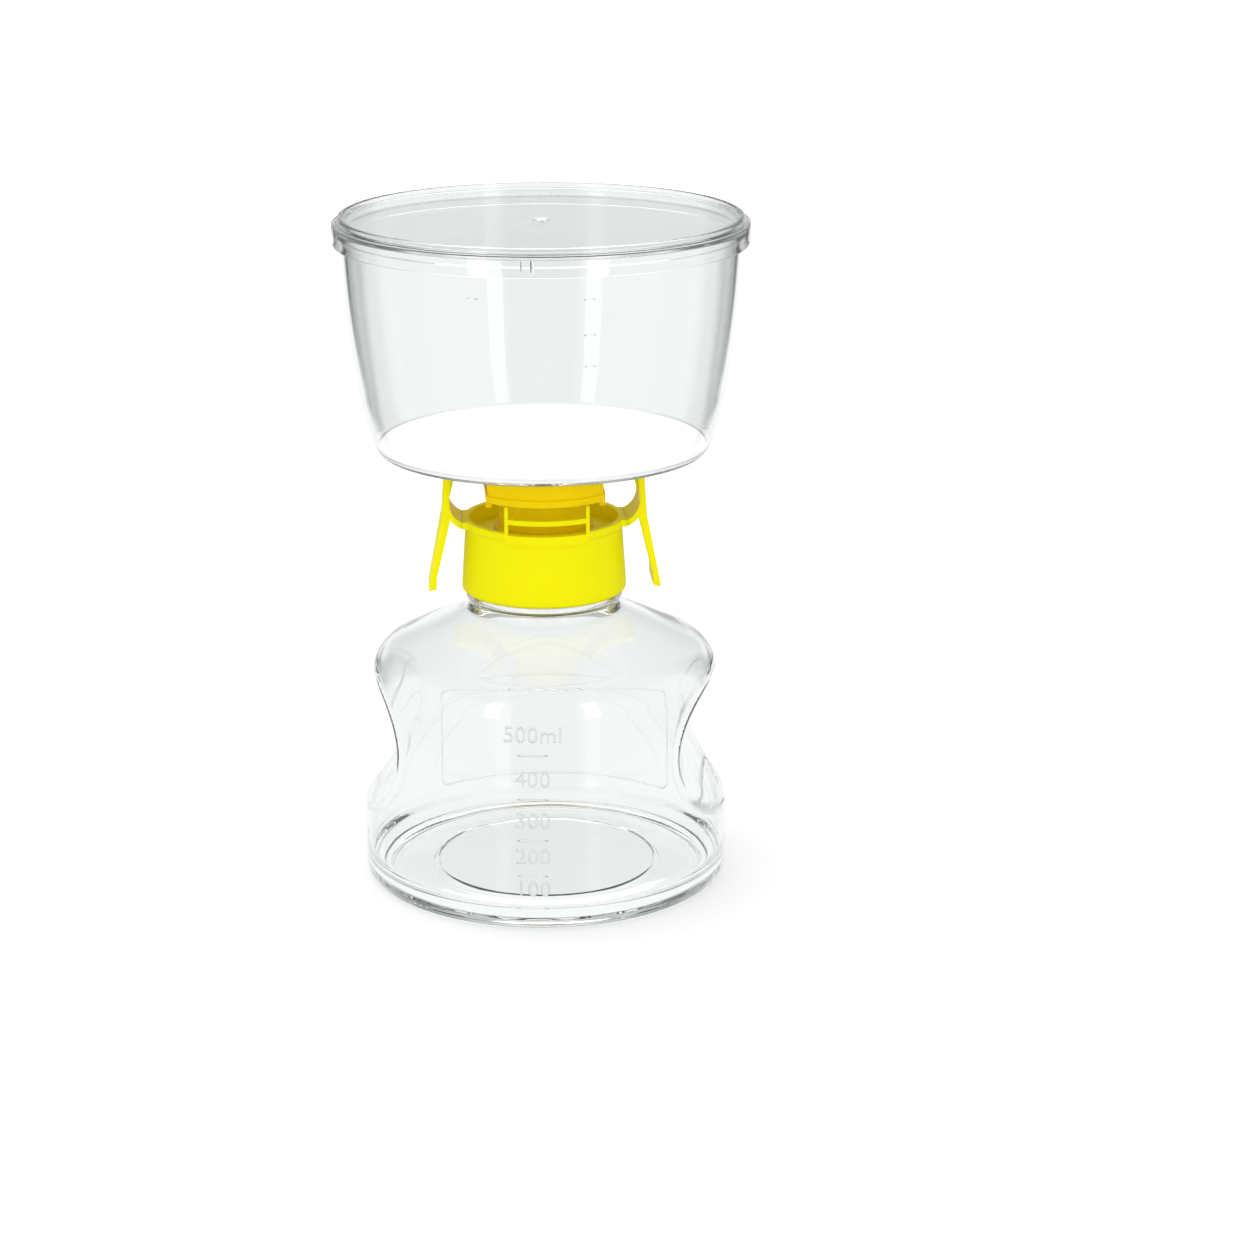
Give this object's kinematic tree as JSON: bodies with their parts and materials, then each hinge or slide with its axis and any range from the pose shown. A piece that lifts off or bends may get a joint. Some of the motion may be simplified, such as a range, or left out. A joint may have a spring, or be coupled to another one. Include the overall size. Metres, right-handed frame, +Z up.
{
  "type": "vacuum filtration unit",
  "caption": "Disposable vacuum filtration unit: clear lidded filter funnel on a squeeze-release screw collar with a hose nozzle, over a clear receiver bottle with side grips.",
  "frame": {"origin": "centre of the bottle's foot ring, on the surface it stands on", "axes": "+Z up along the bottle's axis; +X through the middle of one scooped grip; -Y the front, where the graduations are"},
  "size_m": [0.1262, 0.1262, 0.2093],
  "materials": {
    "clear_plastic": "clear gloss moulded polystyrene",
    "yellow_plastic": "satin gloss moulded polypropylene",
    "white_filter": "matte white filter sheet and fleece",
    "seal": "soft matte white elastomer"
  },
  "bodies": {
    "bottle": {"bottle": "clear_plastic"},
    "thread_carrier": {"neck_gasket": "seal"},
    "head": {"collar": "yellow_plastic", "adapter": "yellow_plastic", "adapter_gasket": "seal", "funnel": "clear_plastic", "support_fleece": "white_filter", "membrane": "white_filter", "hose_nozzle": "yellow_plastic", "nozzle_wool": "white_filter"},
    "lever_right": {"lever_right": "yellow_plastic"},
    "lever_left": {"lever_left": "yellow_plastic"},
    "lid": {"lid": "clear_plastic"}
  },
  "joints": [
    {"name": "head_turn", "type": "hinge", "parent": "bottle", "child": "thread_carrier", "pos_m": [0, 0, 0.1086], "axis": [0, 0, 1], "range_deg": [0, 630]},
    {"name": "head_rise", "type": "slide", "parent": "thread_carrier", "child": "head", "axis": [0, 0, 1], "range_m": [0, 0.007]},
    {"name": "lever_right_squeeze", "type": "hinge", "parent": "head", "child": "lever_right", "pos_m": [0.02453, 0.00288, 0.11445], "axis": [-0.1167, 0.9932, 0], "range_deg": [0, 8], "stiffness_Nm_per_rad": 0.4},
    {"name": "lever_left_squeeze", "type": "hinge", "parent": "head", "child": "lever_left", "pos_m": [-0.02453, -0.00288, 0.11445], "axis": [0.1167, -0.9932, 0], "range_deg": [0, 8], "stiffness_Nm_per_rad": 0.4},
    {"name": "lid_lift", "type": "slide", "parent": "head", "child": "lid", "axis": [0, 0, 1], "range_m": [0, 0.06]}
  ],
  "couplings": [
    {"joint": "head_rise", "follows": "head_turn", "m_per_rad": 0.00063662}
  ]
}
